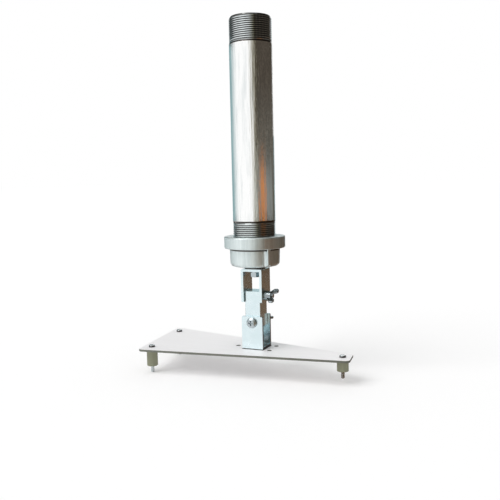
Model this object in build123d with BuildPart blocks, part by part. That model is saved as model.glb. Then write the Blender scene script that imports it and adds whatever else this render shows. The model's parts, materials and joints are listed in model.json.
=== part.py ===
from build123d import *

import math
import os

# A ceiling mount that hangs from a threaded pipe: a cap on the pipe carries a swivel, two crossed
# yokes on a square link give pitch and roll, and a three-point plate holds the load by its screws.
# Millimetres, +Z up. The origin is the centre of the pipe's upper end, which screws into a flange.

# Pipe, 1-1/2 inch nominal, with taper threads drawn as rings at the mean crest radius of what shows
pipe_diameter = 48.26
pipe_wall = 3.68
pipe_length = 254.0
thread_length = 28.6
thread_pitch = 2.209
thread_depth = 0.9
thread_crest = 0.75
thread_root = 0.35
thread_relief = 0.45
lower_thread_relief = 0.15
thread_runout = 1.0
thread_chamfer = 1.5
thread_engaged = 12.0

# Banded cast cap on the pipe's lower end, with a wrench lug down each of two sides
cap_wall = 4.67
cap_draft = 0.65
cap_band_step = 6.1
cap_band_height = 13.3
cap_band_radius = 1.3
cap_edge_radius = 4.5
cap_height = 34.0
cap_floor = 6.0
cap_thread_depth = 17.0
cap_mouth_chamfer = 1.2
cap_cavity_inset = 1.2
cap_cavity_chamfer = 2.5
cap_lug_angle = -38.5
cap_lug_width = 4.2
cap_lug_setback = 1.2
cap_lug_lift = 2.0
cap_lug_toe = 3.0
cap_lug_root_radius = 3.6
cap_lug_edge_radius = 0.9

# Quarter-inch hardware shared by the swivel, the two pivots and the plate
bolt_diameter = 6.35
bolt_end_chamfer = 0.7
bolt_stickout = 0.6
hex_flats = 11.1
hex_head_height = 4.1
hex_nut_height = 5.5
hex_chamfer_angle = 25.0
flat_washer_diameter = 15.9
flat_washer_thickness = 1.6
lock_washer_diameter = 12.4
lock_washer_thickness = 1.6
lock_washer_slit = 0.8
free_hole_gap = 0.15
pivot_gap = 0.07

# Wide washer that the swivel turns on
swivel_washer_thickness = 3.1
swivel_washer_inset = 0.7

# Yokes: two alike, each a strip folded to a square U with sharp corners
yoke_width = 25.4
yoke_span = 25.4
yoke_wall = 2.8
yoke_inner_bend = 0.5
yoke_outer_bend = 1.3
yoke_corner_radius = 1.5
yoke_hole_distance = 31.1
yoke_end_distance = 7.0

# Square link between the yokes, drilled crosswise near each end
link_side_gap = 0.175
link_corner_radius = 1.5
link_hole_spacing = 30.0
link_end_distance = 5.5
link_end_chamfer = 0.4

# Cross-recessed pan-head bolts at the two pivots
pan_head_diameter = 12.5
pan_head_height = 4.4
pan_head_rim = 1.6
pan_head_shoulder = 1.0
pan_recess_span = 6.6
pan_recess_width = 1.5
pan_recess_depth = 2.4
pivot_bolt_stickout = 2.2
recess_taper = 12.0

# Wing nuts, and how far from upright their wings stand
wing_span = 24.0
wing_height = 12.4
wing_breadth = 5.2
wing_thickness = 2.7
wing_tip_radius = 2.3
wing_edge_radius = 0.6
wing_root_height = 1.4
wing_hub_diameter = 11.4
wing_hub_top_diameter = 9.8
wing_hub_height = 6.8
wing_mouth_chamfer = 0.5
pitch_wing_angle = 62.0
roll_wing_angle = 90.0

# Adapter plate: a right-angled taper turned on its bolt, its screws placed along its own edges
plate_turn = 6.9
screw_left_x = -121.4
screw_right_x = 103.8
screw_front_y = -24.85
screw_rear_y = 58.3
plate_thickness = 2.5
plate_left_margin = 11.3
plate_right_margin = 9.6
plate_front_margin = 15.0
plate_rear_margin = 17.0
plate_corner_radius = 5.0
plate_edge_chamfer = 0.3
spare_hole_diameter = 5.5
spare_pair_x = 20.0
spare_pair_spacing = 22.0
spare_single_x = -23.5

# Spacers under the plate, and M4 screws through them with the bare thread at its pitch diameter
spacer_diameter = 12.7
spacer_lengths = {"front_left": 19.5, "rear_left": 19.5, "right": 12.7}
spacer_chamfer = 0.4
screw_diameter = 4.0
screw_thread_diameter = 3.55
screw_hole_gap = 0.25
screw_reach = 8.0
screw_tip_chamfer = 0.6
screw_head_diameter = 7.2
screw_head_height = 2.8
screw_head_rim = 1.4
screw_head_shoulder = 0.6
screw_recess_span = 3.8
screw_recess_width = 0.9
screw_recess_depth = 1.4

# Radii, levels and planes that follow from the sizes above
pipe_radius = pipe_diameter / 2
thread_radius = pipe_radius - thread_relief
lower_thread_radius = pipe_radius - lower_thread_relief
bolt_radius = bolt_diameter / 2
pivot_radius = bolt_radius + pivot_gap
free_radius = bolt_radius + free_hole_gap
screw_hole_radius = screw_diameter / 2 + screw_hole_gap
cap_body_radius = lower_thread_radius + cap_wall
cap_band_outer = cap_body_radius + cap_band_step
cap_rim_z = thread_engaged - pipe_length
cap_bottom_z = cap_rim_z - cap_height
cap_floor_z = cap_bottom_z + cap_floor
cap_band_bottom_z = cap_rim_z - cap_band_height
swivel_washer_diameter = yoke_span - 2 * swivel_washer_inset
yoke_top_z = cap_bottom_z - swivel_washer_thickness
yoke_gap = yoke_span - 2 * yoke_wall
yoke_height = yoke_hole_distance + yoke_end_distance
link_side = yoke_gap - 2 * link_side_gap
pitch_z = yoke_top_z - yoke_hole_distance
roll_z = pitch_z - link_hole_spacing
plate_top_z = roll_z - yoke_hole_distance
plate_bottom_z = plate_top_z - plate_thickness

up = (0, 0, 1)
down = (0, 0, -1)
along_x = (1, 0, 0)
along_y = (0, 1, 0)


def level(z, direction, across=along_x):
    """The plane at a height on the pipe's axis that faces up or down."""
    return Plane(origin=(0, 0, z), x_dir=across, z_dir=direction)


upper_web_underside = level(yoke_top_z - yoke_wall, down)
lower_web_topside = level(plate_top_z + yoke_wall, up)
plate_across = (math.cos(math.radians(plate_turn)), math.sin(math.radians(plate_turn)), 0)
plate_underside = level(plate_bottom_z, up, plate_across)
screw_places = {
    "front_left": (screw_left_x, screw_front_y),
    "rear_left": (screw_left_x, screw_rear_y),
    "right": (screw_right_x, screw_front_y),
}

os.makedirs("parts", exist_ok=True)


def finish(part, name):
    """Label a finished piece and write it to its own file."""
    part.label = name
    export_step(part, f"parts/{name}.step")


def thread_rings(crest_radius, top_z, length):
    """Points of a half section down a thread: as many ring grooves as the length holds."""
    root_radius = crest_radius - thread_depth
    flank = (thread_pitch - thread_crest - thread_root) / 2
    points = []
    for ring in range(int(length / thread_pitch)):
        z = top_z - thread_crest - ring * thread_pitch
        points.append((crest_radius, z))
        points.append((root_radius, z - flank))
        points.append((root_radius, z - flank - thread_root))
        points.append((crest_radius, z - 2 * flank - thread_root))
    return points


# Pipe: a tube turned from its half section, ringed where its threads show
with BuildPart() as pipe:
    with BuildSketch(Plane.XZ):
        bore_radius = pipe_radius - pipe_wall
        lower_thread_top_z = thread_length - pipe_length
        with BuildLine():
            Polyline(
                (bore_radius, 0),
                (thread_radius - thread_chamfer, 0),
                (thread_radius, -thread_chamfer),
                *thread_rings(thread_radius, -thread_chamfer, thread_length - thread_chamfer),
                (thread_radius, -thread_length),
                (pipe_radius, -thread_length - thread_runout),
                (pipe_radius, lower_thread_top_z + thread_runout),
                (lower_thread_radius, lower_thread_top_z),
                *thread_rings(lower_thread_radius, lower_thread_top_z, thread_length - thread_engaged),
                (lower_thread_radius, thread_chamfer - pipe_length),
                (lower_thread_radius - thread_chamfer, -pipe_length),
                (bore_radius, -pipe_length),
                close=True,
            )
        make_face()
    revolve(axis=Axis.Z)
finish(pipe.part, "pipe")

# Cap lug: a rib along +X from the cap's lower edge up into its band, flared where it meets the body
with BuildPart() as cap_lug:
    lug_face = cap_band_outer - cap_lug_setback
    lug_rise = lug_face - cap_body_radius
    lug_root_radius = min(cap_lug_root_radius, lug_rise - cap_lug_edge_radius)
    flare_width = cap_lug_width + 2 * lug_root_radius
    lug_bottom_z = cap_bottom_z + cap_lug_lift
    lug_top_z = cap_band_bottom_z + cap_band_radius
    lug_length = lug_top_z - lug_bottom_z
    with BuildSketch(level(lug_bottom_z, up)) as flare:
        Circle(cap_body_radius)
        Rectangle(lug_face, cap_lug_width, align=(Align.MIN, Align.CENTER))
        fillet(flare.vertices().group_by(Axis.X)[-2], lug_root_radius)
        fillet(flare.vertices().group_by(Axis.X)[-1], cap_lug_edge_radius)
        with Locations((lug_face, 0)):
            inwards = (Align.MAX, Align.CENTER)
            Rectangle(cap_wall + lug_rise, flare_width, align=inwards, mode=Mode.INTERSECT)
    extrude(amount=lug_length)
    with BuildSketch(Plane.XZ) as side:
        with Locations((lug_face, lug_bottom_z)):
            Rectangle(lug_face, lug_length, align=(Align.MAX, Align.MIN))
        fillet(side.vertices().sort_by_distance((lug_face, lug_bottom_z))[0], cap_lug_toe)
    extrude(amount=cap_body_radius, both=True, mode=Mode.INTERSECT)

# Cap: a cup with a thick band at its mouth, threaded inside and drilled through its floor
with BuildPart() as pipe_cap:
    bottom_radius = cap_body_radius - cap_draft
    with BuildSketch(Plane.XZ) as outside:
        with BuildLine():
            Polyline(
                (0, cap_bottom_z),
                (bottom_radius, cap_bottom_z),
                (cap_body_radius, cap_band_bottom_z),
                (cap_band_outer, cap_band_bottom_z),
                (cap_band_outer, cap_rim_z),
                (0, cap_rim_z),
                close=True,
            )
        make_face()
        fillet(outside.vertices().group_by(Axis.X)[-1], cap_band_radius)
        under_band = outside.vertices().sort_by_distance((cap_body_radius, cap_band_bottom_z))[0]
        fillet(under_band, cap_band_radius)
        fillet(outside.vertices().sort_by_distance((bottom_radius, cap_bottom_z))[0], cap_edge_radius)
    revolve(axis=Axis.Z)
    with PolarLocations(0, 2, start_angle=cap_lug_angle):
        add(cap_lug.part)
    cavity_radius = lower_thread_radius - cap_cavity_inset
    thread_bottom_z = cap_rim_z - cap_thread_depth
    with BuildSketch(Plane.XZ) as inside:
        with BuildLine():
            Polyline(
                (0, cap_rim_z),
                (lower_thread_radius + cap_mouth_chamfer, cap_rim_z),
                (lower_thread_radius, cap_rim_z - cap_mouth_chamfer),
                (lower_thread_radius, thread_bottom_z),
                (cavity_radius, thread_bottom_z),
                (cavity_radius, cap_floor_z),
                (0, cap_floor_z),
                close=True,
            )
        make_face()
        chamfer(inside.vertices().sort_by_distance((cavity_radius, cap_floor_z))[0], cap_cavity_chamfer)
    revolve(axis=Axis.Z, mode=Mode.SUBTRACT)
    with BuildSketch(level(cap_bottom_z, up)):
        Circle(free_radius)
    extrude(amount=cap_floor, mode=Mode.SUBTRACT)
finish(pipe_cap.part, "pipe_cap")


def hex_prism(height, rounded_foot):
    """A hexagon standing on the plane z = 0, its corners turned off as on a nut or a bolt head."""
    corner_radius = hex_flats / math.sqrt(3)
    drop = (corner_radius - hex_flats / 2) * math.tan(math.radians(hex_chamfer_angle))
    with BuildPart() as prism:
        with BuildSketch():
            RegularPolygon(radius=corner_radius, side_count=6)
        extrude(amount=height)
        with BuildSketch(Plane.XZ):
            with BuildLine():
                Polyline(
                    (0, 0),
                    (hex_flats / 2 if rounded_foot else corner_radius, 0),
                    (corner_radius, drop),
                    (corner_radius, height - drop),
                    (hex_flats / 2, height),
                    (0, height),
                    close=True,
                )
            make_face()
        revolve(axis=Axis.Z, mode=Mode.INTERSECT)
    return prism.part


def hex_bolt(reach):
    """A hex bolt whose head stands on the plane z = 0 and whose shank reaches down from it."""
    with BuildPart() as bolt:
        add(hex_prism(hex_head_height, rounded_foot=False))
        with BuildSketch():
            Circle(bolt_radius)
        extrude(amount=-reach)
        chamfer(bolt.faces().sort_by(Axis.Z)[0].edges(), bolt_end_chamfer)
    return bolt.part


def hex_nut():
    """A hex nut that stands on the plane z = 0."""
    with BuildPart() as nut:
        add(hex_prism(hex_nut_height, rounded_foot=True))
        with BuildSketch():
            Circle(bolt_radius)
        extrude(amount=hex_nut_height, mode=Mode.SUBTRACT)
    return nut.part


def flat_washer(diameter, thickness):
    """A plain ring that stands on the plane z = 0."""
    with BuildPart() as washer:
        with BuildSketch():
            Circle(diameter / 2)
            Circle(free_radius, mode=Mode.SUBTRACT)
        extrude(amount=thickness)
    return washer.part


def lock_washer():
    """A spring washer pressed flat on the plane z = 0: a square-section ring with one slit."""
    with BuildPart() as washer:
        with BuildSketch():
            Circle(lock_washer_diameter / 2)
            Circle(free_radius, mode=Mode.SUBTRACT)
            with Locations((lock_washer_diameter / 2, 0)):
                Rectangle(lock_washer_diameter, lock_washer_slit, mode=Mode.SUBTRACT)
        extrude(amount=lock_washer_thickness)
    return washer.part


def pan_head(diameter, height, rim, shoulder, recess_span, recess_width, recess_depth):
    """A domed head on the plane z = 0, with a rounded shoulder and a tapering cross for the driver."""
    with BuildPart() as head:
        with BuildSketch(Plane.XZ) as half:
            rise = height - rim
            dome_radius = (diameter**2 / 4 + rise**2) / (2 * rise)
            with BuildLine():
                seat = Line((0, 0), (diameter / 2, 0))
                side = Line(seat @ 1, (diameter / 2, rim))
                dome = RadiusArc(side @ 1, (0, height), -dome_radius)
                Line(dome @ 1, seat @ 0)
            make_face()
            fillet(half.vertices().sort_by_distance((diameter / 2, rim))[0], shoulder)
        revolve(axis=Axis.Z)
        with BuildSketch(Plane.XY.offset(height)):
            Rectangle(recess_span, recess_width)
            Rectangle(recess_width, recess_span)
        extrude(amount=-recess_depth, taper=recess_taper, mode=Mode.SUBTRACT)
    return head.part


def yoke():
    """A strip folded to a U: the web's outer face lies on the plane z = 0 and the legs rise at +X and -X."""
    with BuildPart() as folded:
        with BuildSketch(Plane.XZ) as strip:
            Rectangle(yoke_span, yoke_height, align=(Align.CENTER, Align.MIN))
            with Locations((0, yoke_wall)):
                Rectangle(yoke_gap, yoke_height, align=(Align.CENTER, Align.MIN), mode=Mode.SUBTRACT)
            fillet(strip.vertices().group_by(Axis.Y)[1], yoke_inner_bend)
            fillet(strip.vertices().group_by(Axis.Y)[0], yoke_outer_bend)
        extrude(amount=yoke_width / 2, both=True)
        leg_ends = folded.edges().filter_by(Axis.X).group_by(Axis.Z)[-1]
        fillet(leg_ends, yoke_corner_radius)
        with BuildSketch(Plane(origin=(0, 0, yoke_hole_distance), z_dir=along_x)):
            Circle(pivot_radius)
        extrude(amount=yoke_span, both=True, mode=Mode.SUBTRACT)
        with BuildSketch():
            Circle(pivot_radius)
        extrude(amount=yoke_wall, mode=Mode.SUBTRACT)
    return folded.part


def pivot_bolt():
    """A pan-head bolt: the head stands on the plane z = 0, and the shank crosses a yoke below it."""
    with BuildPart() as bolt:
        with BuildSketch():
            Circle(bolt_radius)
        extrude(amount=-(yoke_span + wing_hub_height + pivot_bolt_stickout))
        chamfer(bolt.faces().sort_by(Axis.Z)[0].edges(), bolt_end_chamfer)
        add(
            pan_head(
                pan_head_diameter,
                pan_head_height,
                pan_head_rim,
                pan_head_shoulder,
                pan_recess_span,
                pan_recess_width,
                pan_recess_depth,
            )
        )
    return bolt.part


def wing_nut():
    """A wing nut on the plane z = 0: a tapered hub and two wings that spread and rise along +X and -X."""
    tip = wing_span / 2
    root = bolt_radius + pivot_gap
    with BuildPart() as nut:
        with BuildSketch(Plane.XZ) as wing:
            with BuildLine():
                Polyline(
                    (root, wing_root_height),
                    (tip, wing_height - wing_breadth),
                    (tip, wing_height),
                    (tip - wing_breadth, wing_height),
                    (root, wing_hub_height),
                    close=True,
                )
            make_face()
            outer = wing.vertices().sort_by(Axis.X)[-2:]
            inner = wing.vertices().sort_by_distance((tip - wing_breadth, wing_height))[0:1]
            fillet(outer + inner, wing_tip_radius)
        extrude(amount=wing_thickness / 2, both=True)
        fillet(nut.faces().filter_by(Axis.Y).edges(), wing_edge_radius)
        mirror(about=Plane.YZ)
        with BuildSketch(Plane.XZ):
            with BuildLine():
                Polyline(
                    (0, 0),
                    (wing_hub_diameter / 2, 0),
                    (wing_hub_top_diameter / 2, wing_hub_height),
                    (0, wing_hub_height),
                    close=True,
                )
            make_face()
        revolve(axis=Axis.Z)
        with BuildSketch():
            Circle(pivot_radius)
        extrude(amount=wing_height, mode=Mode.SUBTRACT)
    return nut.part


# Swivel: a bolt down through the cap's floor and the upper yoke's web, with its washers and nut
swivel_stack = cap_floor + swivel_washer_thickness + yoke_wall + lock_washer_thickness + hex_nut_height
swivel_reach = flat_washer_thickness + swivel_stack + bolt_stickout
swivel_head_level = level(cap_floor_z + flat_washer_thickness, up)
finish(hex_bolt(swivel_reach).moved(swivel_head_level.location), "swivel_bolt")

head_washer = flat_washer(flat_washer_diameter, flat_washer_thickness)
finish(head_washer.moved(level(cap_floor_z, up).location), "swivel_head_washer")

turning_washer = flat_washer(swivel_washer_diameter, swivel_washer_thickness)
finish(turning_washer.moved(level(yoke_top_z, up).location), "swivel_washer")

finish(lock_washer().moved(upper_web_underside.location), "swivel_lock_washer")
finish(hex_nut().moved(upper_web_underside.offset(lock_washer_thickness).location), "swivel_nut")

# Upper yoke, legs down at the left and right, with its pivot bolt and wing nut
finish(yoke().moved(level(yoke_top_z, down).location), "upper_yoke")

pitch_head_side = Plane(origin=(-yoke_span / 2, 0, pitch_z), x_dir=along_y, z_dir=(-1, 0, 0))
finish(pivot_bolt().moved(pitch_head_side.location), "pitch_bolt")

pitch_lean = math.radians(pitch_wing_angle)
pitch_wings = (0, math.sin(pitch_lean), math.cos(pitch_lean))
pitch_nut_side = Plane(origin=(yoke_span / 2, 0, pitch_z), x_dir=pitch_wings, z_dir=along_x)
finish(wing_nut().moved(pitch_nut_side.location), "pitch_wing_nut")

# Link: a square bar with rounded corners, drilled along X at the top and along Y at the bottom
with BuildPart() as link:
    with BuildSketch(level(roll_z - link_end_distance, up)) as bar:
        Rectangle(link_side, link_side)
        fillet(bar.vertices(), link_corner_radius)
    extrude(amount=link_hole_spacing + 2 * link_end_distance)
    chamfer(link.faces().filter_by(Axis.Z).edges(), link_end_chamfer)
    with BuildSketch(Plane(origin=(0, 0, pitch_z), z_dir=along_x)):
        Circle(pivot_radius)
    extrude(amount=link_side, both=True, mode=Mode.SUBTRACT)
    with BuildSketch(Plane(origin=(0, 0, roll_z), z_dir=along_y)):
        Circle(pivot_radius)
    extrude(amount=link_side, both=True, mode=Mode.SUBTRACT)
finish(link.part, "link")

# Lower yoke, legs up at the front and rear, with its pivot bolt and wing nut
finish(yoke().moved(level(plate_top_z, up, along_y).location), "lower_yoke")

roll_head_side = Plane(origin=(0, -yoke_span / 2, roll_z), x_dir=along_x, z_dir=(0, -1, 0))
finish(pivot_bolt().moved(roll_head_side.location), "roll_bolt")

roll_lean = math.radians(roll_wing_angle)
roll_wings = (math.sin(roll_lean), 0, math.cos(roll_lean))
roll_nut_side = Plane(origin=(0, yoke_span / 2, roll_z), x_dir=roll_wings, z_dir=along_y)
finish(wing_nut().moved(roll_nut_side.location), "roll_wing_nut")

# Plate: square at its wide end, its rear edge running beside the line of the outer screws
with BuildPart() as adapter_plate:
    left = screw_left_x - plate_left_margin
    right = screw_right_x + plate_right_margin
    front = screw_front_y - plate_front_margin
    taper = (screw_front_y - screw_rear_y) / (screw_right_x - screw_left_x)
    rear_rise = plate_rear_margin * math.sqrt(1 + taper**2)
    rear_at_left = screw_rear_y + taper * (left - screw_left_x) + rear_rise
    rear_at_right = screw_front_y + taper * (right - screw_right_x) + rear_rise
    with BuildSketch(plate_underside) as outline:
        with BuildLine():
            Polyline((left, front), (right, front), (right, rear_at_right), (left, rear_at_left), close=True)
        make_face()
        fillet(outline.vertices(), plate_corner_radius)
    extrude(amount=plate_thickness)
    chamfer(adapter_plate.faces().filter_by(Axis.Z).edges(), plate_edge_chamfer)
    with BuildSketch(plate_underside):
        Circle(free_radius)
        with Locations(*screw_places.values()):
            Circle(screw_hole_radius)
    extrude(amount=plate_thickness, mode=Mode.SUBTRACT)
    with BuildSketch(level(plate_bottom_z, up)):
        with Locations((spare_single_x, 0)):
            Circle(spare_hole_diameter / 2)
        with Locations((spare_pair_x, 0)):
            with GridLocations(0, spare_pair_spacing, 1, 2):
                Circle(spare_hole_diameter / 2)
    extrude(amount=plate_thickness, mode=Mode.SUBTRACT)
finish(adapter_plate.part, "adapter_plate")

# Plate bolt: its head under the plate, its nut on the lower yoke's floor
plate_stack = plate_thickness + yoke_wall + lock_washer_thickness + hex_nut_height
finish(hex_bolt(plate_stack + bolt_stickout).moved(level(plate_bottom_z, down).location), "plate_bolt")
finish(lock_washer().moved(lower_web_topside.location), "plate_lock_washer")
finish(hex_nut().moved(lower_web_topside.offset(lock_washer_thickness).location), "plate_nut")


def spacer(length):
    """A drilled round spacer that hangs below the plane z = 0."""
    with BuildPart() as tube:
        with BuildSketch():
            Circle(spacer_diameter / 2)
        extrude(amount=-length)
        chamfer(tube.faces().filter_by(Axis.Z).edges(), spacer_chamfer)
        with BuildSketch():
            Circle(screw_hole_radius)
        extrude(amount=-length, mode=Mode.SUBTRACT)
    return tube.part


def corner_screw(grip):
    """A pan-head M4 screw: head on the plane z = 0, a plain grip, then the thread that stays bare."""
    with BuildPart() as screw:
        with BuildSketch():
            Circle(screw_diameter / 2)
        extrude(amount=-grip)
        with BuildSketch(Plane.XY.offset(-grip)):
            Circle(screw_thread_diameter / 2)
        extrude(amount=-screw_reach)
        chamfer(screw.faces().sort_by(Axis.Z)[0].edges(), screw_tip_chamfer)
        add(
            pan_head(
                screw_head_diameter,
                screw_head_height,
                screw_head_rim,
                screw_head_shoulder,
                screw_recess_span,
                screw_recess_width,
                screw_recess_depth,
            )
        )
    return screw.part


# Spacers and screws, one set at each of the plate's three corners
for corner_name, (x, y) in screw_places.items():
    length = spacer_lengths[corner_name]
    under_plate = Plane(origin=plate_underside.from_local_coords((x, y, 0)))
    on_plate = under_plate.offset(plate_thickness)
    finish(spacer(length).moved(under_plate.location), f"spacer_{corner_name}")
    finish(corner_screw(plate_thickness + length).moved(on_plate.location), f"screw_{corner_name}")
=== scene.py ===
import json
import math

import bmesh
import bpy
import numpy as np
from mathutils import Matrix, Vector


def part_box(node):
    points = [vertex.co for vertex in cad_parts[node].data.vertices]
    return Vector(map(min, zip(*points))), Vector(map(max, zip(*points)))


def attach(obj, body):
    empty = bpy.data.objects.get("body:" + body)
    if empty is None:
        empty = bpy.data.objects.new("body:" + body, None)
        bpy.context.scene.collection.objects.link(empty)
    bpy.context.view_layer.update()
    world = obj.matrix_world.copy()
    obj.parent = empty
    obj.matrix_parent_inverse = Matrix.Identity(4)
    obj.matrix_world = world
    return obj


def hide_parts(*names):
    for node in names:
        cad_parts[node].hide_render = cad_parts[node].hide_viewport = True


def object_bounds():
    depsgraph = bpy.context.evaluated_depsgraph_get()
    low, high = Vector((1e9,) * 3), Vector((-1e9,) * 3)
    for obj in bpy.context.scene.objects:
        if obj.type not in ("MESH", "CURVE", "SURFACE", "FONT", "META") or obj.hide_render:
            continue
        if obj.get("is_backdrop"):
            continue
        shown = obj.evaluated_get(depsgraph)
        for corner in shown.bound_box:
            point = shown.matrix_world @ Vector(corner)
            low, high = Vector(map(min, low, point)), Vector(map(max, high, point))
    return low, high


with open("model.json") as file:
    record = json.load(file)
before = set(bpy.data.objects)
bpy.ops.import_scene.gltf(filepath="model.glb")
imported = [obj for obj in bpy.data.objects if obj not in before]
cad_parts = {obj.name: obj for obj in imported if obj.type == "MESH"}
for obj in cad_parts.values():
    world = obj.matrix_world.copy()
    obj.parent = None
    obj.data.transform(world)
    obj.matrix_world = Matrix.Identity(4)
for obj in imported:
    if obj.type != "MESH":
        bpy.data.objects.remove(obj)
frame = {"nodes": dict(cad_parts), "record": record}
cad_low, cad_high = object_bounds()
nodes = frame["nodes"]

MM = 0.001
TURN = 2 * math.pi

# The photograph's camera: where it stands round the pipe's axis, and how it is turned
CAMERA_AZIMUTH = math.radians(23.45)
CAMERA_DISTANCE = 0.77449
CAMERA_HEIGHT = -0.17885
CAMERA_PAN = math.radians(0.415)
CAMERA_PITCH = math.radians(5.85)
CAMERA_ROLL = math.radians(-1.25)
FOCAL_PIXELS = 681.39
IMAGE_PIXELS = 500
SENSOR_WIDTH = 36.0

# Light: the share that comes from all round, a soft key from the front left, and the pale floor
ROUND_LIGHT = 0.72
KEY_STRENGTH = 1.22
KEY_WIDTH = math.radians(40)
KEY_AZIMUTH = math.radians(-125)
KEY_ELEVATION = math.radians(50)
FLOOR_REACH = 30.0
FLOOR_ALBEDO = 0.99
FLOOR_ROUGHNESS = 0.9

# Screens that only mirrored rays see: distances from the pipe's axis and heights in metres, azimuths
# from +X, and tones as the light that they give
SCREEN_COLUMNS = 64
SCREEN_DISTANCE = 1.6
SCREEN_TOP = 3.5
SCREEN_FOOT = -0.401
WHITE = np.array((1.0, 1.0, 1.0))

# Right: a dim, warm room with a floor, a lit strip low on its wall and faint bands above.
# RIGHT_DIM_FROM has an azimuth for each of red, green and blue
RIGHT_FROM = math.radians(-86)
RIGHT_DIM_FROM = np.radians((-40.0, -40.5, -43.0))
RIGHT_TO = math.radians(84)
NEAR_FLOOR_REACH = (0.03, 0.70)
NEAR_FLOOR_TONE = np.array((0.19, 0.12, 0.078))
FAR_FLOOR_DISTANCE = 1.06
FAR_FLOOR_TONE = np.array((0.12, 0.063, 0.03))
DUSK_DISTANCE = 1.16
DUSK_HEIGHTS = (-0.392, -0.330)
DUSK_TONE = np.array((0.04, 0.024, 0.014))
LIT_HEIGHTS = (-0.318, -0.19)
LIT_FROM = np.radians((-37.0, -27.0))
LIT_TO = np.radians((-7.0, 5.0))
LIT_TONE = np.array((0.52, 0.22, 0.09))
LOW_TONE = np.array((0.215, 0.22, 0.205))
EDGE_FROM = np.radians((48.0, 66.0))
EDGE_TONE = np.array((0.095, 0.09, 0.07))
DIM_HEIGHT = -0.075
DIM_TONE = np.array((0.12, 0.11, 0.092))
DARK_HEIGHT = 0.16
DARK_TONE = np.array((0.07, 0.058, 0.046))
BAND_WAVES = 19
BAND_DEPTH = 0.55

# Back: a low, cool wall, and a lighter card close behind the yokes
BACK_TOP = -0.03
COOL_TONE = np.array((0.33, 0.41, 0.43))
CARD_DISTANCE = 0.18
CARD_HEIGHTS = (-0.300, -0.185)
CARD_TONE = np.array((0.52, 0.64, 0.66))

# Left: a cool wall that fades to white at the front and is dark above and in one low band, and two dark
# cards on the floor
LEFT_FROM = math.radians(122)
LEFT_FADE_FROM = math.radians(150)
LEFT_TO = math.radians(215)
LEFT_TONE = np.array((0.27, 0.41, 0.43))
SHADE_FADE = np.radians((166.0, 213.0))
SHADE_HEIGHTS = (0.27, 0.29)
LOW_SHADE_HEIGHTS = (-0.385, -0.378, -0.332, -0.320)
SHADE_TONE = np.array((0.03, 0.028, 0.025))
FLOOR_CARD_REACH = (0.14, 0.42)
FLOOR_CARD_TO = math.radians(196)
FAR_CARD_REACH = (0.43, 1.1)
FAR_CARD_FROM = math.radians(105)
FAR_CARD_FADE = np.radians((136.0, 160.0))

# Points closer than the first distance are merged, edges shorter than the second collapse, and edges
# that turn more than the angle are shaded sharp
MERGE_DISTANCE = 0.002 * MM
COLLAPSE_DISTANCE = 0.001 * MM
SHARP_ANGLE = math.radians(32)

# Keeps the sides of a cross finite along its arms
LEAST_SINE = 1e-6

# Pipe with a thread at each end, 11.5 turns an inch
PIPE_COLUMNS = 144
PIPE_WALL = 3.68 * MM
PIPE_PITCH = 25.4 / 11.5 * MM
PIPE_THREAD_LENGTH = 29.6 * MM
PIPE_THREAD_RUNOUT = 1.0 * MM
PIPE_THREAD_FADE = 5.0 * MM
PIPE_THREAD_DEPTH = 0.9 * MM
PIPE_PLAIN_MARGIN = 0.5 * MM
PIPE_BEVEL_RADIUS = 22.18 * MM
PIPE_BEVEL_SLOPE = 0.6
UPPER_THREAD_RADIUS = 23.68 * MM
LOWER_THREAD_RADIUS = 23.98 * MM

# Oil and painted shade in the threads: how deep in a groove they are full, and their tone at a thread's
# last turn. Then each thread's tones: the oil and painted shade in its grooves, and its bare steel where
# it is dull and where it is bright
THREAD_OIL_SHADE_DEPTH = 0.45 * MM
LAST_TURN_TONE = (0.04, 0.034, 0.029)
UPPER_TONES = ((0.16, 0.165, 0.16), (0.72, 0.76, 0.78), (0.84, 0.89, 0.90))
LOWER_TONES = ((0.27, 0.275, 0.27), (0.58, 0.63, 0.63), (0.70, 0.75, 0.75))

# Ranges of noise that a finish follows: most of it, the spangle's darker part, and the cap's streaks
NOISE_RANGE = (0.3, 0.7)
SPANGLE_RANGE = (0.32, 0.5)
STREAK_RANGE = (0.35, 0.65)

# Sockets of a node that mixes two colours
MIX_SHARE = 0
MIX_LOW = 6
MIX_HIGH = 7
MIX_RESULT = 2

# Painted shade on the cap, in the corner under its band
BAND_BOTTOM = -255.3 * MM
BAND_SHADE_RADIUS = 31.5 * MM
BAND_SHADE_CORE = 1.7 * MM
BAND_SHADE_REACH = 2.5 * MM

# Painted shade on the plate's top, round the foot of the lower yoke
FOOT_SHADE_FROM = 13.0 * MM
FOOT_SHADE_TO = 13.7 * MM
FOOT_SHADE_DEPTH = 0.5 * MM

# Painted shade on the lower yoke's edges up from its foot, and how far in from the side a face is still
# an edge
EDGE_SHADE_FROM = 2.0 * MM
EDGE_SHADE_TO = 3.4 * MM
EDGE_DEPTH = 0.05 * MM

# Quarter-inch bolts, 20 turns an inch, with a cross-recessed pan head
BOLT_RADIUS = 3.175 * MM
BOLT_PITCH = 1.27 * MM
BOLT_THREAD_DEPTH = 0.62 * MM
BOLT_THREAD_LENGTH = 13.0 * MM
BOLT_END_CHAMFER = 0.7 * MM
BOLT_COLUMNS = 96
PAN_HEAD = {
    "radius": 6.25 * MM,
    "height": 4.4 * MM,
    "rim": 1.6 * MM,
    "shoulder": 1.0 * MM,
    "recess_reach": 3.3 * MM,
    "recess_half_width": 0.75 * MM,
    "recess_depth": 2.4 * MM,
}

# Shares of a head's sizes: the pit in its cross, the point below the pit, and the foot of its shoulder
PIT_REACH_SHARE = 0.72
PIT_WIDTH_SHARE = 0.55
PIT_POINT_SHARE = 0.1
SHOULDER_FOOT_SHARE = 0.5
DOME_ROWS = 9
SHOULDER_ROWS = 5

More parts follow.
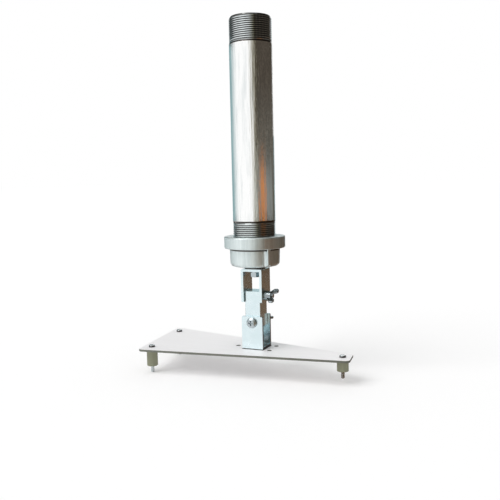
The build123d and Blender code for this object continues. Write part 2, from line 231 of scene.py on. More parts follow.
# Metric screws at the plate's corners
SCREW_RADIUS = 2.0 * MM
SCREW_PITCH = 0.7 * MM
SCREW_THREAD_DEPTH = 0.38 * MM
SCREW_THREAD_LENGTH = 8.0 * MM
SCREW_END_CHAMFER = 0.6 * MM
SCREW_HEAD = {
    "radius": 3.6 * MM,
    "height": 2.8 * MM,
    "rim": 2.2 * MM,
    "shoulder": 0.6 * MM,
    "recess_reach": 1.9 * MM,
    "recess_half_width": 0.45 * MM,
    "recess_depth": 1.4 * MM,
}

# Painted shade round a corner screw's head: half its height, and where it has faded out
SCREW_SIDE_MIDDLE = 0.85 * MM
SCREW_SIDE_FADE = 1.35 * MM

# A face looks along an axis where its normal's part along that axis is larger than this
ALONG_AXIS = 0.9

# Phases of one thread turn at the ends of its crest and its root, and how deep each is cut
TURN_PHASES = np.array([0.0, 0.34, 0.59, 0.75])
TURN_CUTS = np.array([0.0, 0.0, 1.0, 1.0])


# Meshes


def skin(name, x, y, z):
    """A mesh of quads between the neighbouring rows and columns of a grid of points.

    Points that fall together are merged, which closes the seam and the poles, and the faces are
    turned outwards."""
    points = np.stack(np.broadcast_arrays(x, y, z), axis=-1)
    rows, columns = points.shape[:2]
    index = np.arange(rows * columns).reshape(rows, columns)
    quads = np.stack([index[:-1, :-1], index[:-1, 1:], index[1:, 1:], index[1:, :-1]], axis=-1)
    mesh = bpy.data.meshes.new(name)
    mesh.from_pydata(points.reshape(-1, 3).tolist(), [], quads.reshape(-1, 4).tolist())
    grown = bmesh.new()
    grown.from_mesh(mesh)
    bmesh.ops.remove_doubles(grown, verts=grown.verts, dist=MERGE_DISTANCE)
    bmesh.ops.dissolve_degenerate(grown, edges=grown.edges, dist=COLLAPSE_DISTANCE)
    bmesh.ops.recalc_face_normals(grown, faces=grown.faces)
    grown.to_mesh(mesh)
    grown.free()
    mesh.shade_smooth()
    mesh.set_sharp_from_angle(angle=SHARP_ANGLE)
    piece = bpy.data.objects.new(name, mesh)
    bpy.context.scene.collection.objects.link(piece)
    return piece


def face_values(mesh, name):
    """The centre or the normal of each face, a row for each."""
    values = np.empty(len(mesh.polygons) * 3)
    mesh.polygons.foreach_get(name, values)
    return values.reshape(-1, 3)


def round_columns(count):
    """The angles of a grid's columns round a full turn, as one row."""
    return np.linspace(0.0, TURN, count + 1)[None, :]


def thread_rows(start, stop, pitch, angles):
    """Heights and cuts of a right-hand thread between two heights, start above stop.

    A row follows the helix z = start - pitch * (turn - angle / full turn), held between the two
    heights, and its cut is the share of the thread's depth at that row's phase of the turn."""
    turns = math.ceil((start - stop) / pitch) + 2
    phase = (np.arange(turns)[:, None] + TURN_PHASES[None, :]).ravel()
    cut = np.tile(TURN_CUTS, turns)
    height = start - pitch * (phase[:, None] - angles / TURN)
    return np.clip(height, stop, start), np.broadcast_to(cut[:, None], height.shape)


def pipe_surface():
    """The threaded pipe: radius as a function of height and angle.

    With e the distance from the nearer end, the crest grows over the runout from the thread's radius to
    the pipe's, the groove is cut below it by cut * depth * fade(e), and a bevel r = tip + slope * e trims
    the end. A plain row beside each thread keeps the shading of the plain part straight, and the bore
    closes the tube."""
    low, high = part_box("pipe")
    outer = high.x
    bore = outer - PIPE_WALL
    angles = round_columns(PIPE_COLUMNS)
    top = thread_rows(high.z, high.z - PIPE_THREAD_LENGTH, PIPE_PITCH, angles)
    bottom = thread_rows(low.z + PIPE_THREAD_LENGTH, low.z, PIPE_PITCH, angles)
    plain_reach = PIPE_THREAD_LENGTH + PIPE_PLAIN_MARGIN
    plain = np.array([[high.z - plain_reach], [low.z + plain_reach]]) + 0 * angles
    height = np.concatenate([top[0], plain, bottom[0]])
    cut = np.concatenate([top[1], 0 * plain, bottom[1]])
    reach = np.minimum(high.z - height, height - low.z)
    thread_radius = np.where(high.z - height < height - low.z, UPPER_THREAD_RADIUS, LOWER_THREAD_RADIUS)
    growth = np.clip(1 - (PIPE_THREAD_LENGTH - reach) / PIPE_THREAD_RUNOUT, 0, 1)
    crest = thread_radius + (outer - thread_radius) * growth
    fade = np.clip((PIPE_THREAD_LENGTH - reach) / PIPE_THREAD_FADE, 0, 1)
    radius = crest - cut * PIPE_THREAD_DEPTH * fade
    radius = np.minimum(radius, PIPE_BEVEL_RADIUS + PIPE_BEVEL_SLOPE * reach)
    bore_ends = np.full((1, angles.size), high.z), np.full((1, angles.size), low.z)
    height = np.concatenate([bore_ends[0], height, bore_ends[1], bore_ends[0]])
    bore_row = np.full((1, angles.size), bore)
    radius = np.concatenate([bore_row, radius, bore_row, bore_row])
    return radius * np.cos(angles), radius * np.sin(angles), height


def cross_outline(angles, reach, half_width):
    """The radius of a cross-shaped outline at each angle: the nearer of an arm's end and its side."""
    off_arm = (angles + TURN / 8) % (TURN / 4) - TURN / 8
    side = half_width / np.maximum(np.abs(np.sin(off_arm)), LEAST_SINE)
    return np.minimum(reach / np.cos(off_arm), side)


def pan_head_rows(head, angles):
    """Radii and heights of a domed head above the plane z = 0, from the floor of its cross to its seat.

    The dome is z = height - (ball - sqrt(ball^2 - r^2)), the cross is a tapering pit in it, rows pass
    from the cross outline to the round edge, and a quarter ellipse makes the shoulder."""
    rise = head["height"] - head["rim"]
    ball = (head["radius"] ** 2 + rise**2) / (2 * rise)
    cross = cross_outline(angles, head["recess_reach"], head["recess_half_width"])
    pit_reach = PIT_REACH_SHARE * head["recess_reach"]
    pit = cross_outline(angles, pit_reach, PIT_WIDTH_SHARE * head["recess_half_width"])
    edge = head["radius"] - head["shoulder"]
    share = np.linspace(0, 1, DOME_ROWS)[:, None]
    dome_radius = cross + share * (edge - cross)
    dome_height = head["height"] - ball + np.sqrt(ball**2 - dome_radius**2)
    bend = np.linspace(0, TURN / 4, SHOULDER_ROWS + 1)[1:, None]
    shoulder_drop = (dome_height[-1, 0] - head["rim"] * SHOULDER_FOOT_SHARE) * (1 - np.cos(bend))
    shoulder_radius = edge + head["shoulder"] * np.sin(bend) + 0 * angles
    shoulder_height = dome_height[-1, 0] - shoulder_drop + 0 * angles
    floor = np.full_like(angles, head["height"] - head["recess_depth"])
    point = floor - PIT_POINT_SHARE * head["recess_depth"]
    rim = np.full_like(angles, head["radius"])
    radius = np.concatenate([0 * angles, pit, dome_radius, shoulder_radius, rim])
    height = np.concatenate([point, floor, dome_height, shoulder_height, 0 * angles])
    return radius, height


def screw_surface(head, shank, length, thread_length, pitch, depth, chamfer):
    """A pan-head screw along its own axis: head above z = 0, plain shank, thread, and a chamfered end.

    The thread's radius is shank - cut * depth, faded in over its first turn and trimmed by the end
    chamfer r = shank - chamfer + e, with e the distance from the end."""
    angles = round_columns(BOLT_COLUMNS)
    head_radius, head_height = pan_head_rows(head, angles)
    height, cut = thread_rows(thread_length - length, -length, pitch, angles)
    reach = height + length
    fade = np.clip((thread_length - reach) / pitch, 0, 1)
    radius = np.minimum(shank - cut * depth * fade, shank - chamfer + reach)
    shank_row = np.full_like(angles, shank)
    radius = np.concatenate([head_radius, shank_row, radius, 0 * angles])
    height = np.concatenate([head_height, 0 * angles, height, 0 * angles - length])
    return radius * np.cos(angles), radius * np.sin(angles), height


def placed(points, origin, across, axis):
    """Points of a local frame moved to an origin, with local X along across and local Z along axis."""
    z_axis = Vector(axis).normalized()
    x_axis = Vector(across).normalized()
    y_axis = z_axis.cross(x_axis)
    x, y, z = points
    return tuple(origin[i] + x * x_axis[i] + y * y_axis[i] + z * z_axis[i] for i in range(3))


# Finishes


def new_finish(name, metallic, roughness=None):
    """A material with the numbers that are the same all over set on its shader."""
    finish = bpy.data.materials.new(name)
    finish.use_nodes = True
    shader = finish.node_tree.nodes["Principled BSDF"]
    shader.inputs["Metallic"].default_value = metallic
    if roughness is not None:
        shader.inputs["Roughness"].default_value = roughness
    return finish, shader


def add_node(finish, kind, inputs, **settings):
    """A node with its inputs linked to sockets or set to plain values."""
    node = finish.node_tree.nodes.new(kind)
    for key, value in settings.items():
        setattr(node, key, value)
    for key, value in inputs.items():
        if isinstance(value, bpy.types.NodeSocket):
            finish.node_tree.links.new(value, node.inputs[key])
        else:
            node.inputs[key].default_value = value
    return node


def feed(finish, shader, socket, value):
    """Link a value to one of the shader's sockets."""
    finish.node_tree.links.new(value, shader.inputs[socket])


def object_place(finish, scale):
    """The object's own coordinates in metres, times a scale on each axis."""
    where = add_node(finish, "ShaderNodeTexCoord", {}).outputs["Object"]
    return add_node(finish, "ShaderNodeMapping", {"Vector": where, "Scale": scale}).outputs[0]


def axis_distance(finish):
    """The distance from the pipe's axis, in metres."""
    flat = object_place(finish, (1, 1, 0))
    return add_node(finish, "ShaderNodeVectorMath", {0: flat}, operation="LENGTH").outputs["Value"]


def square_distance(finish):
    """The larger of the distances from the pipe's axis along X and along Y, in metres."""
    where = add_node(finish, "ShaderNodeTexCoord", {}).outputs["Object"]
    off_axis = add_node(finish, "ShaderNodeVectorMath", {0: where}, operation="ABSOLUTE").outputs[0]
    apart = add_node(finish, "ShaderNodeSeparateXYZ", {0: off_axis}).outputs
    along = {0: apart["X"], 1: apart["Y"]}
    return add_node(finish, "ShaderNodeMath", along, operation="MAXIMUM").outputs[0]


def height_from(finish, level):
    """The distance above or below a height, in metres."""
    where = add_node(finish, "ShaderNodeTexCoord", {}).outputs["Object"]
    height = add_node(finish, "ShaderNodeSeparateXYZ", {0: where}).outputs["Z"]
    above = add_node(finish, "ShaderNodeMath", {0: height, 1: level}, operation="SUBTRACT").outputs[0]
    return add_node(finish, "ShaderNodeMath", {0: above}, operation="ABSOLUTE").outputs[0]


def product(finish, one, other):
    """Two values multiplied."""
    return add_node(finish, "ShaderNodeMath", {0: one, 1: other}, operation="MULTIPLY").outputs[0]


def grain(finish, scale, detail=3.0, roughness=0.55):
    """Noise from 0 to 1 with so many waves a metre along each axis."""
    inputs = {
        "Vector": object_place(finish, scale),
        "Scale": 1.0,
        "Detail": detail,
        "Roughness": roughness,
    }
    return add_node(finish, "ShaderNodeTexNoise", inputs).outputs["Fac"]


def spread(finish, value, from_range, to_range=(0, 1)):
    """A value carried from one range to another and held inside it."""
    inputs = {
        "Value": value,
        "From Min": from_range[0],
        "From Max": from_range[1],
        "To Min": to_range[0],
        "To Max": to_range[1],
    }
    return add_node(finish, "ShaderNodeMapRange", inputs).outputs["Result"]


def mixed(finish, share, low, high):
    """A colour between two colours."""
    node = add_node(finish, "ShaderNodeMix", {}, data_type="RGBA")
    links = finish.node_tree.links
    links.new(share, node.inputs[MIX_SHARE])
    for slot, colour in ((MIX_LOW, low), (MIX_HIGH, high)):
        if isinstance(colour, bpy.types.NodeSocket):
            links.new(colour, node.inputs[slot])
        else:
            node.inputs[slot].default_value = (*colour, 1.0)
    return node.outputs[MIX_RESULT]


def paint(finish, shader, colour):
    """Give the finish a colour that varies."""
    feed(finish, shader, "Base Color", colour)


def roughen(finish, shader, noise, rough_range):
    """Give the finish a roughness that follows noise."""
    feed(finish, shader, "Roughness", spread(finish, noise, NOISE_RANGE, rough_range))


def relief(finish, shader, height, distance):
    """Bump of so many metres from a height between 0 and 1."""
    bump = add_node(finish, "ShaderNodeBump", {"Height": height, "Distance": distance, "Strength": 1.0})
    feed(finish, shader, "Normal", bump.outputs["Normal"])


def galvanised_pipe():
    """Bright zinc coat on drawn pipe: upright streaks and a faint spangle."""
    finish, shader = new_finish("galvanised_pipe", metallic=1.0)
    streaks = grain(finish, scale=(520, 520, 11))
    spangle = grain(finish, scale=(170, 170, 17), detail=5.0, roughness=0.6)
    dull, bright = (0.80, 0.83, 0.83), (0.985, 0.99, 0.985)
    paint(finish, shader, mixed(finish, spread(finish, spangle, SPANGLE_RANGE), dull, bright))
    roughen(finish, shader, spangle, rough_range=(0.05, 0.12))
    streak_share = 0.45
    drawn = {0: streaks, 1: streak_share, 2: spangle}
    height = add_node(finish, "ShaderNodeMath", drawn, operation="MULTIPLY_ADD").outputs[0]
    relief(finish, shader, height, distance=0.5 * MM)
    return finish


def cut_thread(name, crest_radius, oil_and_shade, dull, bright):
    """Bare steel that a die has cut, dark with oil and painted shade in the grooves and at the thread's
    last turn.
    """
    finish, shader = new_finish(name, metallic=1.0)
    film = grain(finish, scale=(300, 300, 500))
    # Oil and painted shade in the grooves, full at the oil depth below the crest
    crest = spread(finish, axis_distance(finish), (crest_radius - THREAD_OIL_SHADE_DEPTH, crest_radius))
    low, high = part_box("pipe")
    middle = (low.z + high.z) / 2
    last_turn = high.z - middle - PIPE_THREAD_LENGTH + PIPE_THREAD_RUNOUT
    # Oil and painted shade over the thread's last turn
    beyond = spread(finish, height_from(finish, middle), (last_turn, last_turn + PIPE_PITCH))
    cut = mixed(finish, crest, oil_and_shade, mixed(finish, film, dull, bright))
    paint(finish, shader, mixed(finish, beyond, LAST_TURN_TONE, cut))
    roughen(finish, shader, film, rough_range=(0.17, 0.1))
    return finish


def galvanised_casting():
    """Zinc over a sand-cast skin: soft lumps, an uneven sheen, streaks, and painted shade under the band.
    """
    finish, shader = new_finish("galvanised_casting", metallic=1.0)
    lumps = grain(finish, scale=(55, 55, 70))
    pits = grain(finish, scale=(420, 420, 420), detail=2.0)
    streaks = grain(finish, scale=(330, 330, 16))
    dull, bright = (0.63, 0.70, 0.70), (0.76, 0.83, 0.83)
    tone = mixed(finish, spread(finish, streaks, STREAK_RANGE), dull, bright)
    # Painted shade in the corner under the band, where the body hides it from the light
    near_level = spread(finish, height_from(finish, BAND_BOTTOM), (BAND_SHADE_CORE, BAND_SHADE_REACH), (1, 0))
    body_range = (BAND_SHADE_RADIUS, BAND_SHADE_RADIUS + BAND_SHADE_CORE)
    near_body = spread(finish, axis_distance(finish), body_range, (1, 0))
    painted_shade = (0.05, 0.042, 0.035)
    paint(finish, shader, mixed(finish, product(finish, near_level, near_body), tone, painted_shade))
    roughen(finish, shader, pits, rough_range=(0.40, 0.54))
    relief(finish, shader, lumps, distance=0.5 * MM)
    return finish


def zinc_plate():
    """Bright zinc plate with a faint cloud."""
    finish, shader = new_finish("zinc_plate", metallic=1.0)
    cloud = grain(finish, scale=(110, 110, 110), detail=2.0)
    dull, bright = (0.70, 0.82, 0.85), (0.76, 0.87, 0.90)
    paint(finish, shader, mixed(finish, spread(finish, cloud, NOISE_RANGE), dull, bright))
    roughen(finish, shader, cloud, rough_range=(0.2, 0.3))
    return finish


def hardware_zinc():
    """Zinc plate on turned hardware, darker and shinier than on the folded strip."""
    finish, shader = new_finish("hardware_zinc", metallic=1.0)
    cloud = grain(finish, scale=(260, 260, 260), detail=2.0)
    dull, bright = (0.34, 0.38, 0.40), (0.58, 0.65, 0.67)
    paint(finish, shader, mixed(finish, cloud, dull, bright))
    roughen(finish, shader, cloud, rough_range=(0.12, 0.22))
    return finish


def screw_zinc():
    """Zinc plate on the corner screws: bright on top of the head, with painted shade round its side."""
    finish, shader = new_finish("screw_zinc", metallic=1.0)
    cloud = grain(finish, scale=(420, 420, 420), detail=2.0)
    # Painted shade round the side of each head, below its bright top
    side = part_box("adapter_plate")[1].z + SCREW_SIDE_MIDDLE
    on_side = spread(finish, height_from(finish, side), (SCREW_SIDE_MIDDLE, SCREW_SIDE_FADE), (1, 0))
    dull, bright, side_shade = (0.58, 0.62, 0.63), (0.80, 0.83, 0.84), (0.075, 0.075, 0.074)
    paint(finish, shader, mixed(finish, on_side, mixed(finish, cloud, dull, bright), side_shade))
    roughen(finish, shader, cloud, rough_range=(0.18, 0.3))
    return finish


def yoke_edge():
    """Sheared edge of the lower yoke's strip, dark, with painted shade along its foot."""
    finish, shader = new_finish("yoke_edge", metallic=1.0)
    shear = grain(finish, scale=(60, 400, 400))
    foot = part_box("lower_yoke")[0].z
    # Painted shade, nearly black at the foot
    foot_shade = spread(finish, height_from(finish, foot), (EDGE_SHADE_FROM, EDGE_SHADE_TO), (1, 0))
    dull, bright, painted_shade = (0.26, 0.27, 0.27), (0.40, 0.41, 0.41), (0.03, 0.028, 0.026)
    paint(finish, shader, mixed(finish, foot_shade, mixed(finish, shear, dull, bright), painted_shade))
    roughen(finish, shader, shear, rough_range=(0.34, 0.46))
    return finish


def wing_zinc():
    """Dull, cloudy zinc on the pressed wing nuts."""
    finish, shader = new_finish("wing_zinc", metallic=1.0)
    cloud = grain(finish, scale=(320, 320, 320), detail=2.0)
    dull, bright = (0.20, 0.22, 0.23), (0.44, 0.49, 0.51)
    paint(finish, shader, mixed(finish, cloud, dull, bright))
    roughen(finish, shader, cloud, rough_range=(0.12, 0.2))
    return finish


def washer_shade_zinc():
    """Zinc plate on the swivel washer, coloured near-black all over as painted shade in the gap under the
    cap.
    """
    finish, shader = new_finish("washer_shade_zinc", metallic=0.4, roughness=0.4)
    mottle = grain(finish, scale=(300, 300, 600), detail=2.0)
    deep_shade, pale_shade = (0.03, 0.028, 0.025), (0.09, 0.085, 0.08)
    paint(finish, shader, mixed(finish, mottle, deep_shade, pale_shade))
    return finish


def satin_plate():
    """Satin sheet metal brushed along X, with painted shade round the lower yoke's foot."""
    finish, shader = new_finish("satin_plate", metallic=0.25)
    brushed = grain(finish, scale=(12, 1400, 1400))
    dull, bright = (0.90, 0.885, 0.89), (0.965, 0.955, 0.96)
    tone = mixed(finish, spread(finish, brushed, NOISE_RANGE), dull, bright)
    # Painted contact shadow round the foot of the lower yoke
    foot_shade = spread(finish, square_distance(finish), (FOOT_SHADE_FROM, FOOT_SHADE_TO), (1, 0))
    below_top = height_from(finish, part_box("adapter_plate")[1].z)
    on_top = spread(finish, below_top, (FOOT_SHADE_DEPTH, 2 * FOOT_SHADE_DEPTH), (1, 0))
    painted_shade = (0.05, 0.045, 0.04)
    paint(finish, shader, mixed(finish, product(finish, foot_shade, on_top), tone, painted_shade))
    roughen(finish, shader, brushed, rough_range=(0.54, 0.66))
    relief(finish, shader, brushed, distance=0.01 * MM)
    return finish


def cut_edge():
    """Sheared edge of the plate, a little rough, coloured dark as painted shade."""
    finish, shader = new_finish("cut_edge", metallic=0.3, roughness=0.5)
    shear = grain(finish, scale=(400, 400, 60))
    # Painted shade: the edge's tones are dark
    dark, light = (0.13, 0.135, 0.115), (0.19, 0.195, 0.165)
    paint(finish, shader, mixed(finish, shear, dark, light))
    return finish


def spacer_nylon():
    """Dull khaki nylon with faint turning rings."""
    finish, shader = new_finish("spacer_nylon", metallic=0.0)
    rings = grain(finish, scale=(30, 30, 2500), detail=2.0)
    dark, light = (0.20, 0.205, 0.135), (0.25, 0.255, 0.175)
    paint(finish, shader, mixed(finish, rings, dark, light))
    roughen(finish, shader, rings, rough_range=(0.55, 0.7))
    relief(finish, shader, rings, distance=0.02 * MM)
    return finish


FINISHES = {
    "galvanised_pipe": galvanised_pipe(),
    "galvanised_casting": galvanised_casting(),
    "zinc_plate": zinc_plate(),
    "satin_plate": satin_plate(),
    "spacer_nylon": spacer_nylon(),
}
HARDWARE = hardware_zinc()
WINGS = wing_zinc()
# Swivel washer: zinc coloured dark as painted shade in the gap under the cap
WASHER_SHADE = washer_shade_zinc()
SCREWS = screw_zinc()
NODE_FINISHES = {
    "swivel_washer": WASHER_SHADE,
    "swivel_nut": HARDWARE,
    "swivel_lock_washer": HARDWARE,
    "pitch_bolt": HARDWARE,
    "pitch_wing_nut": WINGS,
    "roll_bolt": HARDWARE,
    "roll_wing_nut": WINGS,
    "plate_bolt": HARDWARE,
    "plate_nut": HARDWARE,
    "plate_lock_washer": HARDWARE,
    "screw_front_left": SCREWS,
    "screw_rear_left": SCREWS,
    "screw_right": SCREWS,
}
node_slot = {part["node"]: part["material_slot"] for part in frame["record"]["subparts"]}
node_body = {node: body for body, held in frame["record"]["behaviour"]["bodies"].items() for node in held}


def finish_of(node):
    """The finish of a node: its own, or that of its slot."""
    return NODE_FINISHES.get(node) or FINISHES[node_slot[node]]


def dress(piece, node):
    """Give a new piece the finish and the body of the node that it stands for."""
    piece.data.materials.append(finish_of(node))
    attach(piece, node_body[node])
    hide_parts(node)


for node, obj in nodes.items():
    obj.data.materials.clear()
    obj.data.materials.append(finish_of(node))

# Plate's edge and the walls of its holes, dark with painted shade
plate_mesh = nodes["adapter_plate"].data
plate_mesh.materials.append(cut_edge())
upright = np.abs(face_values(plate_mesh, "normal")[:, 2]) < ALONG_AXIS
plate_mesh.polygons.foreach_set("material_index", upright.astype(np.int32))

# Lower yoke's sheared edges, which face along X, with painted shade along the foot
yoke_mesh = nodes["lower_yoke"].data
yoke_mesh.materials.append(yoke_edge())
yoke_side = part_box("lower_yoke")[1].x
faces_aside = np.abs(face_values(yoke_mesh, "normal")[:, 0]) > ALONG_AXIS
lies_aside = np.abs(face_values(yoke_mesh, "center")[:, 0]) > yoke_side - EDGE_DEPTH
yoke_mesh.polygons.foreach_set("material_index", (faces_aside & lies_aside).astype(np.int32))

# Pipe with cut threads at both ends
pipe = skin("pipe_threaded", *pipe_surface())
dress(pipe, "pipe")
pipe.data.materials.append(cut_thread("upper_thread", UPPER_THREAD_RADIUS, *UPPER_TONES))
pipe.data.materials.append(cut_thread("lower_thread", LOWER_THREAD_RADIUS, *LOWER_TONES))
heights = face_values(pipe.data, "center")[:, 2]
end_face = np.abs(face_values(pipe.data, "normal")[:, 2]) > ALONG_AXIS
pipe_low, pipe_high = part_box("pipe")
upper_thread = (heights > pipe_high.z - PIPE_THREAD_LENGTH) & ~end_face
lower_thread = (heights < pipe_low.z + PIPE_THREAD_LENGTH) & ~end_face
pipe.data.polygons.foreach_set("material_index", (upper_thread + 2 * lower_thread).astype(np.int32))

# Pivot bolts, each from the outside of its head to its threaded end
pitch_low, pitch_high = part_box("pitch_bolt")
pitch_centre = (pitch_low + pitch_high) / 2
pitch_seat = Vector((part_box("upper_yoke")[0].x, pitch_centre.y, pitch_centre.z))
pivot_points = screw_surface(
    PAN_HEAD,
    BOLT_RADIUS,
    pitch_high.x - pitch_seat.x,
    BOLT_THREAD_LENGTH,
    BOLT_PITCH,
    BOLT_THREAD_DEPTH,
    BOLT_END_CHAMFER,
)
dress(skin("pitch_bolt_threaded", *placed(pivot_points, pitch_seat, (0, 1, 0), (-1, 0, 0))), "pitch_bolt")

roll_low, roll_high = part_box("roll_bolt")
roll_centre = (roll_low + roll_high) / 2
roll_seat = Vector((roll_centre.x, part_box("lower_yoke")[0].y, roll_centre.z))
dress(skin("roll_bolt_threaded", *placed(pivot_points, roll_seat, (1, 0, 0), (0, -1, 0))), "roll_bolt")

# Corner screws, each down from the plate's top
plate_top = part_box("adapter_plate")[1].z
for corner in ("front_left", "rear_left", "right"):
    node = f"screw_{corner}"
    low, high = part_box(node)
    seat = Vector(((low.x + high.x) / 2, (low.y + high.y) / 2, plate_top))
    screw_points = screw_surface(
        SCREW_HEAD,
        SCREW_RADIUS,
        plate_top - low.z,
        SCREW_THREAD_LENGTH,
        SCREW_PITCH,
        SCREW_THREAD_DEPTH,
        SCREW_END_CHAMFER,
    )
    dress(skin(f"{node}_threaded", *placed(screw_points, seat, (1, 0, 0), (0, 0, 1))), node)


# Floor, backdrop light and camera


def white_where_seen(tree, everywhere, seen):
    """Mix two shaders: the second where a camera, mirror or see-through ray meets it."""
    path = tree.nodes.new("ShaderNodeLightPath")
    share = path.outputs["Is Camera Ray"]
    for kind in ("Is Glossy Ray", "Is Transmission Ray"):
        larger = tree.nodes.new("ShaderNodeMath")
        larger.operation = "MAXIMUM"
        tree.links.new(share, larger.inputs[0])
        tree.links.new(path.outputs[kind], larger.inputs[1])
        share = larger.outputs[0]
    mix = tree.nodes.new("ShaderNodeMixShader")
    tree.links.new(share, mix.inputs[0])
    tree.links.new(everywhere, mix.inputs[1])
    tree.links.new(seen, mix.inputs[2])
    return mix.outputs[0]


world = bpy.data.worlds.new("white_room")
bpy.context.scene.world = world
world.use_nodes = True
room = world.node_tree
soft = room.nodes["Background"]
soft.inputs["Color"].default_value = (1, 1, 1, 1)
soft.inputs["Strength"].default_value = ROUND_LIGHT
white = room.nodes.new("ShaderNodeBackground")
white.inputs["Color"].default_value = (1, 1, 1, 1)
white.inputs["Strength"].default_value = 1.0
seen_white = white_where_seen(room, soft.outputs[0], white.outputs[0])
room.links.new(seen_white, room.nodes["World Output"].inputs["Surface"])

key = bpy.data.lights.new("key", "SUN")
key.energy = KEY_STRENGTH
key.angle = KEY_WIDTH
key_lamp = bpy.data.objects.new("key", key)
bpy.context.scene.collection.objects.link(key_lamp)
towards_key = Vector(
    (
        math.cos(KEY_AZIMUTH) * math.cos(KEY_ELEVATION),
        math.sin(KEY_AZIMUTH) * math.cos(KEY_ELEVATION),
        math.sin(KEY_ELEVATION),
    )
)
key_lamp.rotation_mode = "QUATERNION"
key_lamp.rotation_quaternion = towards_key.to_track_quat("Z", "Y")

floor_line = np.array([-FLOOR_REACH, FLOOR_REACH])
floor = skin("floor", floor_line[None, :], floor_line[:, None], np.full((2, 2), cad_low.z))
floor_finish, floor_shader = new_finish("pale_floor", metallic=0.0, roughness=FLOOR_ROUGHNESS)
floor_shader.inputs["Base Color"].default_value = (FLOOR_ALBEDO, FLOOR_ALBEDO, FLOOR_ALBEDO, 1)
floor_shader.inputs["Specular IOR Level"].default_value = 0.0
floor.data.materials.append(floor_finish)
floor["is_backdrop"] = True


def eased(value, start, stop):
    """A share that rises from 0 at start to 1 at stop as 3 t^2 - 2 t^3."""
    share = np.clip((value - start) / (stop - start), 0, 1)
    return share * share * (3 - 2 * share)


def screen(name, azimuths, rows):
    """A screen round part of the room: rows of points swept over the azimuths.

    A row has a distance, a height, and a tone for each azimuth."""
    distance = np.array([row[0] for row in rows])[:, None]
    height = np.array([row[1] for row in rows])[:, None]
    tones = np.array([row[2] for row in rows])
    panel = skin(name, distance * np.cos(azimuths), distance * np.sin(azimuths), height)
    light = np.concatenate([tones, np.ones((len(rows), azimuths.size, 1))], axis=2)
    tints = panel.data.color_attributes.new("shown", "FLOAT_COLOR", "POINT")
    tints.data.foreach_set("color", light.ravel())
    finish = bpy.data.materials.new(name)
    finish.use_nodes = True
    tree = finish.node_tree
    tree.nodes.remove(tree.nodes["Principled BSDF"])
    tint = add_node(finish, "ShaderNodeAttribute", {}, attribute_name="shown")
    glow = add_node(finish, "ShaderNodeEmission", {"Color": tint.outputs["Color"]})
    tree.links.new(glow.outputs[0], tree.nodes["Material Output"].inputs["Surface"])
    panel.data.materials.append(finish)
    panel.visible_camera = False
    panel.visible_diffuse = False
    panel.visible_transmission = False
    panel.visible_shadow = False
    panel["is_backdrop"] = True


def blend(share, low, high):
    """Tones between two tones, one for each row of shares."""
    return low + share * (high - low)


# Right: white light falls off into the dim room, from the floor near the pipe to the top of the wall
around = np.linspace(RIGHT_FROM, RIGHT_TO, SCREEN_COLUMNS)
inside = eased(around[:, None], RIGHT_FROM, RIGHT_DIM_FROM)
strip = eased(around, *LIT_FROM) * (1 - eased(around, *LIT_TO))
low_wall = blend(eased(around, *EDGE_FROM)[:, None], LOW_TONE, EDGE_TONE)
near_floor = blend(inside, WHITE, NEAR_FLOOR_TONE)
far_floor = blend(inside, WHITE, FAR_FLOOR_TONE)
dusk = blend(inside, WHITE, DUSK_TONE)
lit_wall = blend(inside, WHITE, blend(strip[:, None], low_wall, LIT_TONE))
bands = 1 + BAND_DEPTH * np.sin(BAND_WAVES * around)[:, None]
dim_wall = blend(inside, WHITE, DIM_TONE * bands)
dark_wall = blend(inside, WHITE, DARK_TONE * bands)
screen(
    "right_screen",
    around,
    [
        (NEAR_FLOOR_REACH[0], SCREEN_FOOT, near_floor),
        (NEAR_FLOOR_REACH[1], SCREEN_FOOT, near_floor),
        (FAR_FLOOR_DISTANCE, SCREEN_FOOT, far_floor),
        (DUSK_DISTANCE, SCREEN_FOOT, dusk),
        (SCREEN_DISTANCE, DUSK_HEIGHTS[0], dusk),
        (SCREEN_DISTANCE, DUSK_HEIGHTS[1], dusk),
        (SCREEN_DISTANCE, LIT_HEIGHTS[0], lit_wall),
        (SCREEN_DISTANCE, LIT_HEIGHTS[1], lit_wall),
        (SCREEN_DISTANCE, DIM_HEIGHT, dim_wall),
        (SCREEN_DISTANCE, DARK_HEIGHT, dark_wall),
        (SCREEN_DISTANCE, SCREEN_TOP, dark_wall),
    ],
)

# Back: the cool wall and the card in front of it
around = np.linspace(RIGHT_TO, LEFT_FROM, SCREEN_COLUMNS)
cool = np.tile(COOL_TONE, (SCREEN_COLUMNS, 1))
screen("back_screen", around, [(SCREEN_DISTANCE, height, cool) for height in (SCREEN_FOOT, BACK_TOP)])
card = np.tile(CARD_TONE, (SCREEN_COLUMNS, 1))
screen("back_card", around, [(CARD_DISTANCE, height, card) for height in CARD_HEIGHTS])

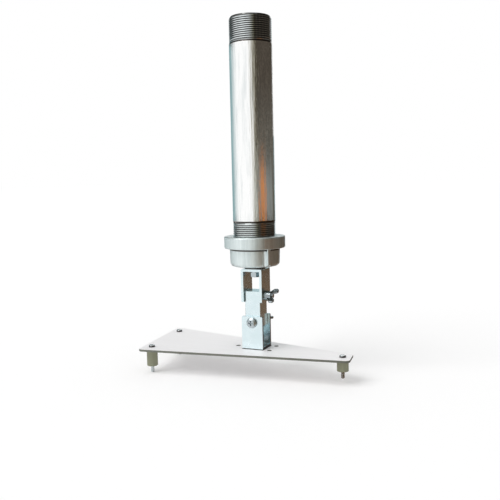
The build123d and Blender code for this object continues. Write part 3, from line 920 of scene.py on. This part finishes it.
# Left: the cool wall with its dark parts
around = np.linspace(LEFT_FROM, LEFT_TO, SCREEN_COLUMNS)
cool = blend(eased(around, LEFT_FADE_FROM, LEFT_TO)[:, None], LEFT_TONE, WHITE)
shade = blend(eased(around, *SHADE_FADE)[:, None], SHADE_TONE, WHITE)
screen(
    "left_screen",
    around,
    [
        (SCREEN_DISTANCE, SCREEN_FOOT, cool),
        (SCREEN_DISTANCE, LOW_SHADE_HEIGHTS[0], cool),
        (SCREEN_DISTANCE, LOW_SHADE_HEIGHTS[1], shade),
        (SCREEN_DISTANCE, LOW_SHADE_HEIGHTS[2], shade),
        (SCREEN_DISTANCE, LOW_SHADE_HEIGHTS[3], cool),
        (SCREEN_DISTANCE, SHADE_HEIGHTS[0], cool),
        (SCREEN_DISTANCE, SHADE_HEIGHTS[1], shade),
        (SCREEN_DISTANCE, SCREEN_TOP, shade),
    ],
)

# The two dark cards on the floor, which fade to white at the front
card = blend(eased(around, LEFT_FADE_FROM, FLOOR_CARD_TO)[:, None], SHADE_TONE, WHITE)
screen("left_floor_card", around, [(distance, SCREEN_FOOT, card) for distance in FLOOR_CARD_REACH])
around = np.linspace(FAR_CARD_FROM, FAR_CARD_FADE[1], SCREEN_COLUMNS)
card = blend(eased(around, *FAR_CARD_FADE)[:, None], SHADE_TONE, WHITE)
screen("far_floor_card", around, [(distance, SCREEN_FOOT, card) for distance in FAR_CARD_REACH])

camera = bpy.data.cameras.new("camera")
camera.sensor_width = SENSOR_WIDTH
camera.lens = SENSOR_WIDTH * FOCAL_PIXELS / IMAGE_PIXELS
eye = bpy.data.objects.new("camera", camera)
bpy.context.scene.collection.objects.link(eye)
heading = CAMERA_AZIMUTH + CAMERA_PAN
ahead = Vector(
    (
        -math.sin(heading) * math.cos(CAMERA_PITCH),
        math.cos(heading) * math.cos(CAMERA_PITCH),
        -math.sin(CAMERA_PITCH),
    )
)
level_right = Vector((math.cos(heading), math.sin(heading), 0))
level_up = level_right.cross(ahead)
right = math.cos(CAMERA_ROLL) * level_right + math.sin(CAMERA_ROLL) * level_up
upward = right.cross(ahead)
turned = Matrix((right, upward, -ahead)).transposed().to_4x4()
place = (
    CAMERA_DISTANCE * math.sin(CAMERA_AZIMUTH),
    -CAMERA_DISTANCE * math.cos(CAMERA_AZIMUTH),
    CAMERA_HEIGHT,
)
eye.matrix_world = Matrix.Translation(place) @ turned
bpy.context.scene.camera = eye
bpy.context.scene.view_settings.view_transform = "Standard"

low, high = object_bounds()
